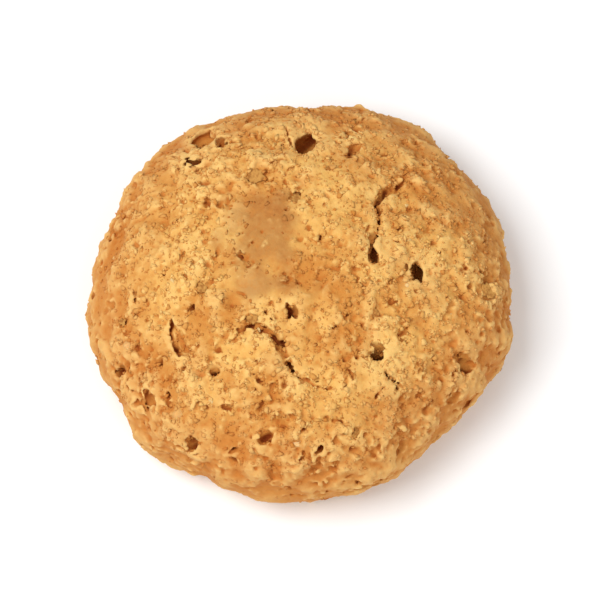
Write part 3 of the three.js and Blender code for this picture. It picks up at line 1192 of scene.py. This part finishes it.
# %% The crust
BROAD_BLOTCHES = {"size_mm": 7, "seed": 1.0, "start": 0.42, "end": 0.62, "most": 0.95}
MIDDLE_BLOTCHES = {"size_mm": 3.6, "seed": 5.0, "start": 0.5, "end": 0.66, "most": 0.5}
SMALL_BLOTCHES = {"size_mm": 1.3, "seed": 2.0, "start": 0.5, "end": 0.66, "most": 0.4}

crust_material, tree, shader = new_material(
    "crust", roughness=0.82, specular=0.2, bump_mm=0.055, grit_mm=0.22, granules=0.9
)
light_goes_in(shader, share=0.12, reach_mm=0.4)

colour = blotched(tree, GOLDEN, TOASTED, **BROAD_BLOTCHES)
colour = blotched(tree, colour, PALE, **MIDDLE_BLOTCHES)
colour = patched(tree, colour)
colour = blotched(tree, colour, TOASTED, **SMALL_BLOTCHES)
colour = lower_down(tree, colour, tray_share=0.8, rim_share=0.75)
feed(tree, shader.inputs["Base Color"], baked_and_shaded(tree, colour))
tell_nodes(crust_material)

cookie.data.materials.clear()
cookie.data.materials.append(crust_material)
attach(cookie, "root")
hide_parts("cookie")

# %% The crumbs, each with a tone of its own and painted shade at their feet
CRUMB_FOOT, CRUMB_CROWN = -0.02, 0.14  # from full to none of the dark at its foot, above the crust

crumb_material, tree, shader = new_material(
    "crumbs", roughness=0.8, specular=0.2, bump_mm=0.035, grit_mm=0.12, granules=0.4
)

number = add_kept(tree, "number")
colour = add_mix(tree, add_step(tree, number, 0.0, 0.45), TOASTED, GOLDEN)
colour = add_mix(tree, add_step(tree, number, 0.5, 1.0, 0, 0.6), colour, PALE)
colour = blotched(tree, colour, TOASTED, **BROAD_BLOTCHES)
colour = patched(tree, colour)
colour = lower_down(tree, colour, tray_share=0.8, rim_share=0.75)
colour = baked_and_shaded(tree, colour)
# Painted shade: each crumb's colour darkens towards its foot, where it meets the crust.
foot_shade = add_step(tree, add_kept(tree, "above"), CRUMB_CROWN, CRUMB_FOOT, 0, 0.5)
colour = add_mix(tree, foot_shade, colour, HOLLOW_SHADE)
feed(tree, shader.inputs["Base Color"], colour)
tell_nodes(crumb_material)

crumbs.data.materials.append(crumb_material)
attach(crumbs, "root")

# %% The bits of almond
almond_material, tree, shader = new_material(
    "almond", roughness=0.65, specular=0.25, bump_mm=0.04, grit_mm=0.15, granules=0.2
)
light_goes_in(shader, share=0.3, reach_mm=0.8)

colour = add_mix(tree, add_step(tree, add_kept(tree, "number"), 0, 1), ALMOND, ALMOND_EDGE)
colour = blotched(tree, colour, ALMOND_EDGE, size_mm=0.6, seed=3.0, start=0.45, end=0.65, most=0.6)
colour = lower_down(tree, colour, tray_share=0.5, rim_share=0.3)
feed(tree, shader.inputs["Base Color"], colour)
tell_nodes(almond_material)

almonds.data.materials.append(almond_material)
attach(almonds, "root")

# %% The scraps of skin
skin_material, tree, shader = new_material(
    "almond_skin", roughness=0.75, specular=0.15, bump_mm=0.06, grit_mm=0.12, granules=0.3
)

colour = blotched(tree, SKIN, SKIN_DARK, size_mm=0.5, seed=4.0, start=0.42, end=0.62, most=0.8)
colour = lower_down(tree, colour, tray_share=0.3)
feed(tree, shader.inputs["Base Color"], colour)
tell_nodes(skin_material)

skins.data.materials.append(skin_material)
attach(skins, "root")

# %% [markdown]
# ## A flat map of the surface
#
# A biscuit that goes to another program takes its colours along as a picture, and that picture needs a
# map. Blender's own unwrapping would cut this crust into thousands of scraps. A biscuit is nearly a
# flattened ball, so two round maps are enough, like the two halves of a world map: one for the dome
# and one for the underside. Each keeps areas equal, so no part of the crust gets less detail.

# %% Two round maps side by side
MAP_NAME = "OFBake"
WIDEST = 5.4  # the height at which the biscuit is widest, in millimetres
HALF_LENGTH, HALF_WIDTH = (high - low)[:2] / 2
DOME_AT, UNDERSIDE_AT = 0.25, 0.75  # the middle of each map, across the picture
MAP_ACROSS, MAP_ALONG = 0.235, 0.47  # half of a map's size, with a thin margin round it


def add_round_maps(thing):
    """Maps each face by the way it lies from the biscuit's middle, all its corners on one map."""
    mesh = thing.data
    corners = np.empty(len(mesh.loops), np.int32)
    mesh.loops.foreach_get("vertex_index", corners)
    above = points_of(thing) - (0, 0, WIDEST)
    tall = np.where(above[:, 2] > 0, high[2] - WIDEST, WIDEST)
    ways = above / np.stack((np.full_like(tall, HALF_LENGTH), np.full_like(tall, HALF_WIDTH), tall), 1)
    ways /= np.linalg.norm(ways, axis=1)[:, None]
    ways = ways[corners]
    first = np.empty(len(mesh.polygons), np.int32)
    mesh.polygons.foreach_get("loop_start", first)
    counts = np.diff(np.append(first, len(corners)))
    upper = np.repeat(np.add.reduceat(ways[:, 2], first) > 0, counts)
    up = np.where(upper, ways[:, 2], -ways[:, 2])
    out = np.sqrt(np.maximum(1 - up, 0)) / np.maximum(np.hypot(ways[:, 0], ways[:, 1]), 1e-6)
    across = np.where(upper, DOME_AT, UNDERSIDE_AT) + MAP_ACROSS * ways[:, 0] * out
    along = 0.5 + MAP_ALONG * ways[:, 1] * out
    layer = mesh.uv_layers.new(name=MAP_NAME)
    layer.uv.foreach_set("vector", np.stack((across, along), 1).astype(np.float32).ravel())
    tell(f"{thing.name}: the map reaches {across.min():.2f} to {across.max():.2f} across")


for thing in (cookie, crumbs, almonds, skins):
    add_round_maps(thing)

# %% [markdown]
# ## The floor
#
# The biscuit lies on a plain pale table. One large square is enough, as wide as any of the cameras
# sees. It is rough, so that it mirrors nothing.

# %% A plain floor
FLOOR_HALF = 1.5  # metres
FLOOR_GREY = 0.9

floor_mesh = bpy.data.meshes.new("floor")
corners = [(FLOOR_HALF * x, FLOOR_HALF * y, 0) for x, y in ((-1, -1), (1, -1), (1, 1), (-1, 1))]
floor_mesh.from_pydata(corners, [], [(0, 1, 2, 3)])
floor = linked(bpy.data.objects.new("floor", floor_mesh))
floor_material = bpy.data.materials.new("floor")
floor_material.use_nodes = True
shader = floor_material.node_tree.nodes["Principled BSDF"]
shader.inputs["Base Color"].default_value = (FLOOR_GREY, FLOOR_GREY, FLOOR_GREY, 1)
shader.inputs["Roughness"].default_value = 0.8
floor_mesh.materials.append(floor_material)
tell(f"a floor {2 * FLOOR_HALF:.0f} m wide")

# %% [markdown]
# ## The light
#
# Grit, pits and cracks show when light comes from one side, but a single hard lamp makes them black.
# So even, pale surroundings light everything, a large soft lamp high on the left gives the relief its
# lit and dark sides, and a weaker one low at the front right keeps the near flank open.

# %% Surroundings and two soft lamps
SURROUNDINGS = 0.58
LAMP_SIZE = 0.3  # metres
LAMPS = {"key": ((-0.22, -0.02, 0.42), 1.82), "fill": ((0.2, -0.33, 0.3), 0.6)}  # place and watts
AIM = Vector((0, 0, 0.008))  # the middle of the biscuit

world = bpy.data.worlds.new("world")
bpy.context.scene.world = world
world.use_nodes = True
world.node_tree.nodes["Background"].inputs["Color"].default_value = (1, 1, 1, 1)
world.node_tree.nodes["Background"].inputs["Strength"].default_value = SURROUNDINGS

for name, (place, power) in LAMPS.items():
    light = bpy.data.lights.new(name, "AREA")
    light.size = LAMP_SIZE
    light.energy = power
    lamp = linked(bpy.data.objects.new(name, light))
    lamp.location = place
    lamp.rotation_euler = (AIM - Vector(place)).to_track_quat("-Z", "Y").to_euler()
    tell(f"{name} lamp: {(AIM - Vector(place)).length:.2f} m from the biscuit")

# %% [markdown]
# ## The camera
#
# The biscuit is seen from 72 degrees up, so that the whole dome shows and a little of the near flank.
# A wide lens close by would swell the middle, so a long lens stands further off.

# %% A long lens from above
ELEVATION = math.radians(72)
DISTANCE = 0.63  # metres
TARGET = Vector((0, 0, 0.0055))

camera_data = bpy.data.cameras.new("camera")
camera_data.lens = 400
camera_data.sensor_width = 36
camera_data.clip_start = 0.001
camera = linked(bpy.data.objects.new("camera", camera_data))
camera.location = TARGET + DISTANCE * Vector((0, -math.cos(ELEVATION), math.sin(ELEVATION)))
camera.rotation_euler = (TARGET - camera.location).to_track_quat("-Z", "Y").to_euler()
bpy.context.scene.camera = camera
bpy.context.scene.view_settings.view_transform = "Standard"  # tones as chosen, with no film look
tell(f"a view {1000 * DISTANCE * camera_data.sensor_width / camera_data.lens:.0f} mm wide")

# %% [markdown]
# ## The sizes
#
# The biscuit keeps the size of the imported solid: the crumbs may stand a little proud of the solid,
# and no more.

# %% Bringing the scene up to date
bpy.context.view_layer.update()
tell("done")
